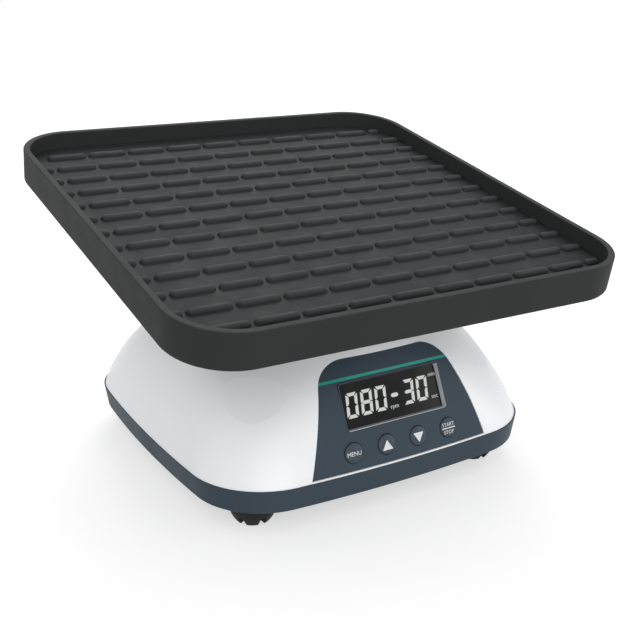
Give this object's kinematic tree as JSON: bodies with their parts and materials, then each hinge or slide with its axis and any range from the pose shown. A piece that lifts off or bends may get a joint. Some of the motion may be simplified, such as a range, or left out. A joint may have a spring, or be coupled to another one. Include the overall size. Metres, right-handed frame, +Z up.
{
  "type": "rocking platform shaker",
  "caption": "Benchtop rocking shaker: a tilted square tray with a ribbed mat wobbles on a white domed base with a slate control panel, display and push buttons.",
  "frame": {"origin": "on the floor under the middle of the overall box", "axes": "+Z up; the control panel faces -Y; +X to the right as seen from the front"},
  "size_m": [0.2353, 0.2359, 0.1578],
  "materials": {
    "cover_white": "satin white moulded plastic",
    "slate": "satin slate-grey moulded plastic",
    "teal": "printed teal stripe",
    "tray_charcoal": "matt charcoal plastic",
    "mat_rubber": "matt charcoal rubber",
    "foot_rubber": "black rubber",
    "bezel_grey": "satin grey plastic",
    "display_glass": "black display window",
    "black_plastic": "black plastic",
    "board_green": "circuit board",
    "steel": "bright steel",
    "alloy": "machined alloy",
    "belt_rubber": "toothed belt"
  },
  "bodies": {
    "base": {"bottom_housing": "slate", "top_cover": "cover_white", "foot_screws": "steel", "control_panel": "slate", "accent_stripe": "teal", "display_bezel": "bezel_grey", "display_lens": "display_glass", "lcd_module": "black_plastic", "control_board": "board_green", "tact_switches": "black_plastic", "chassis_plate": "steel", "chassis_screws": "steel", "bearing_tower": "alloy", "lower_bearing": "steel", "upper_bearing": "steel", "motor_body": "steel", "drive_belt": "belt_rubber", "guide_collar": "black_plastic", "driver_board": "board_green", "switch_frame": "black_plastic", "power_inlet": "black_plastic", "foot_front_left": "foot_rubber", "foot_rear_left": "foot_rubber", "foot_front_right": "foot_rubber", "foot_rear_right": "foot_rubber"},
    "tray": {"tray_shell": "tray_charcoal", "tray_mat": "mat_rubber", "carrier_plate": "alloy", "carrier_hub": "alloy", "wobble_bearing": "steel", "guide_pin": "steel", "tray_screws": "steel"},
    "drive_hub": {"spindle": "steel", "driven_pulley": "alloy", "wobble_hub": "alloy"},
    "motor_rotor": {"motor_shaft": "steel", "motor_pulley": "alloy"},
    "menu_button": {"menu_button": "slate"},
    "up_button": {"up_button": "slate"},
    "down_button": {"down_button": "slate"},
    "start_stop_button": {"start_stop_button": "slate"},
    "power_rocker": {"power_rocker": "black_plastic"}
  },
  "joints": [
    {"name": "hub_spin", "type": "hinge", "parent": "base", "child": "drive_hub", "pos_m": [-0.00011, 0.00194, 0.1162], "axis": [0, 0, 1], "continuous": true},
    {"name": "tray_wobble", "type": "hinge", "parent": "drive_hub", "child": "tray", "pos_m": [-0.00011, 0.00194, 0.1162], "axis": [0.0103, -0.1804, 0.9835], "continuous": true},
    {"name": "motor_spin", "type": "hinge", "parent": "base", "child": "motor_rotor", "pos_m": [-0.00011, 0.04394, 0.025], "axis": [0, 0, 1], "continuous": true},
    {"name": "menu_press", "type": "slide", "parent": "base", "child": "menu_button", "axis": [0, 0.9026, -0.4305], "range_m": [0, 0.0008], "stiffness_N_per_m": 900},
    {"name": "up_press", "type": "slide", "parent": "base", "child": "up_button", "axis": [0, 0.9026, -0.4305], "range_m": [0, 0.0008], "stiffness_N_per_m": 900},
    {"name": "down_press", "type": "slide", "parent": "base", "child": "down_button", "axis": [0, 0.9026, -0.4305], "range_m": [0, 0.0008], "stiffness_N_per_m": 900},
    {"name": "start_stop_press", "type": "slide", "parent": "base", "child": "start_stop_button", "axis": [0, 0.9026, -0.4305], "range_m": [0, 0.0008], "stiffness_N_per_m": 900},
    {"name": "power_toggle", "type": "hinge", "parent": "base", "child": "power_rocker", "pos_m": [0.02189, 0.08405, 0.05297], "axis": [1, 0, 0], "range_deg": [-8, 8]}
  ],
  "couplings": [
    {"joint": "tray_wobble", "follows": "hub_spin", "ratio": -1},
    {"joint": "motor_spin", "follows": "hub_spin", "ratio": 3}
  ]
}
